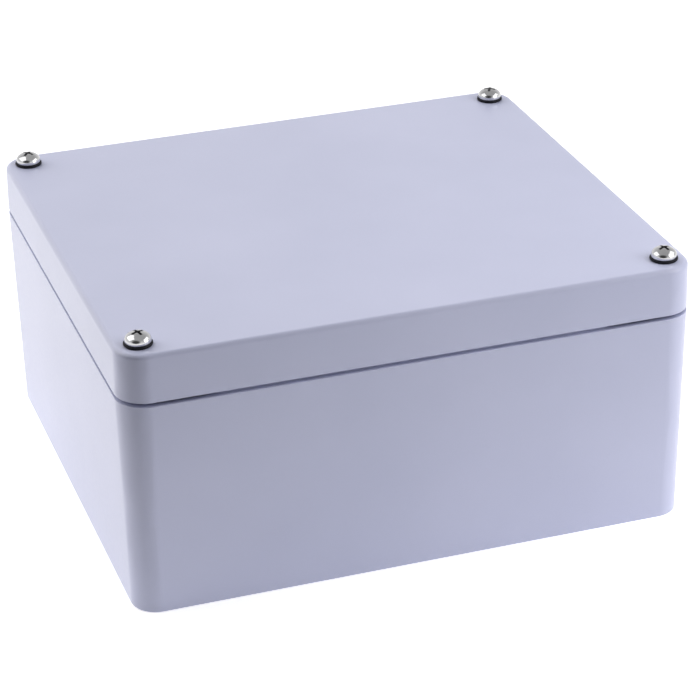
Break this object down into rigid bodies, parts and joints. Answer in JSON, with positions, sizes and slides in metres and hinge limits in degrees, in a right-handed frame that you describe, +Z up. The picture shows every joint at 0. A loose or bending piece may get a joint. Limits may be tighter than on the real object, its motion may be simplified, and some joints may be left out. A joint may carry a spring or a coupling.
{
  "type": "die cast aluminium enclosure",
  "caption": "Rectangular die cast aluminium enclosure with a lift-off lid, a sealed joint and captive corner screws outside the seal.",
  "frame": {"origin": "centre of the flat underside", "axes": "+X along the long side, +Y from the front to the back, +Z up through the lid"},
  "size_m": [0.23, 0.2056, 0.1148],
  "materials": {
    "paint": "cast aluminium under a fine light blue-grey powder coat, semi-gloss",
    "gasket": "closed-cell rubber",
    "screw_steel": "bright plated steel",
    "washer_rubber": "smooth black rubber",
    "ring_steel": "plain spring steel",
    "earth_steel": "zinc plated"
  },
  "bodies": {
    "base": {"base": "paint", "base_earth_screw": "earth_steel", "base_earth_washer": "earth_steel", "base_earth_lock_washer": "earth_steel"},
    "lid": {"lid": "paint", "gasket": "gasket", "lid_earth_screw": "earth_steel", "lid_earth_washer": "earth_steel", "lid_earth_lock_washer": "earth_steel", "sealing_washer_front_left": "washer_rubber", "sealing_washer_front_right": "washer_rubber", "sealing_washer_back_left": "washer_rubber", "sealing_washer_back_right": "washer_rubber"},
    "screw_rise_front_left": {"retaining_ring_front_left": "ring_steel"},
    "screw_turn_front_left": {"lid_screw_front_left": "screw_steel"},
    "screw_rise_front_right": {"retaining_ring_front_right": "ring_steel"},
    "screw_turn_front_right": {"lid_screw_front_right": "screw_steel"},
    "screw_rise_back_left": {"retaining_ring_back_left": "ring_steel"},
    "screw_turn_back_left": {"lid_screw_back_left": "screw_steel"},
    "screw_rise_back_right": {"retaining_ring_back_right": "ring_steel"},
    "screw_turn_back_right": {"lid_screw_back_right": "screw_steel"}
  },
  "joints": [
    {"name": "lid_lift", "type": "slide", "parent": "base", "child": "lid", "axis": [0, 0, 1], "range_m": [0, 0.12]},
    {"name": "rise_front_left", "type": "slide", "parent": "lid", "child": "screw_rise_front_left", "axis": [0, 0, 1], "range_m": [0, 0.0128]},
    {"name": "turn_front_left", "type": "hinge", "parent": "screw_rise_front_left", "child": "screw_turn_front_left", "pos_m": [-0.105, -0.0919, 0.1], "axis": [0, 0, 1], "range_deg": [0, 5760]},
    {"name": "rise_front_right", "type": "slide", "parent": "lid", "child": "screw_rise_front_right", "axis": [0, 0, 1], "range_m": [0, 0.0128]},
    {"name": "turn_front_right", "type": "hinge", "parent": "screw_rise_front_right", "child": "screw_turn_front_right", "pos_m": [0.105, -0.0919, 0.1], "axis": [0, 0, 1], "range_deg": [0, 5760]},
    {"name": "rise_back_left", "type": "slide", "parent": "lid", "child": "screw_rise_back_left", "axis": [0, 0, 1], "range_m": [0, 0.0128]},
    {"name": "turn_back_left", "type": "hinge", "parent": "screw_rise_back_left", "child": "screw_turn_back_left", "pos_m": [-0.105, 0.0919, 0.1], "axis": [0, 0, 1], "range_deg": [0, 5760]},
    {"name": "rise_back_right", "type": "slide", "parent": "lid", "child": "screw_rise_back_right", "axis": [0, 0, 1], "range_m": [0, 0.0128]},
    {"name": "turn_back_right", "type": "hinge", "parent": "screw_rise_back_right", "child": "screw_turn_back_right", "pos_m": [0.105, 0.0919, 0.1], "axis": [0, 0, 1], "range_deg": [0, 5760]}
  ],
  "couplings": [
    {"joint": "turn_front_left", "follows": "rise_front_left", "rad_per_m": 7854},
    {"joint": "turn_front_right", "follows": "rise_front_right", "rad_per_m": 7854},
    {"joint": "turn_back_left", "follows": "rise_back_left", "rad_per_m": 7854},
    {"joint": "turn_back_right", "follows": "rise_back_right", "rad_per_m": 7854}
  ]
}
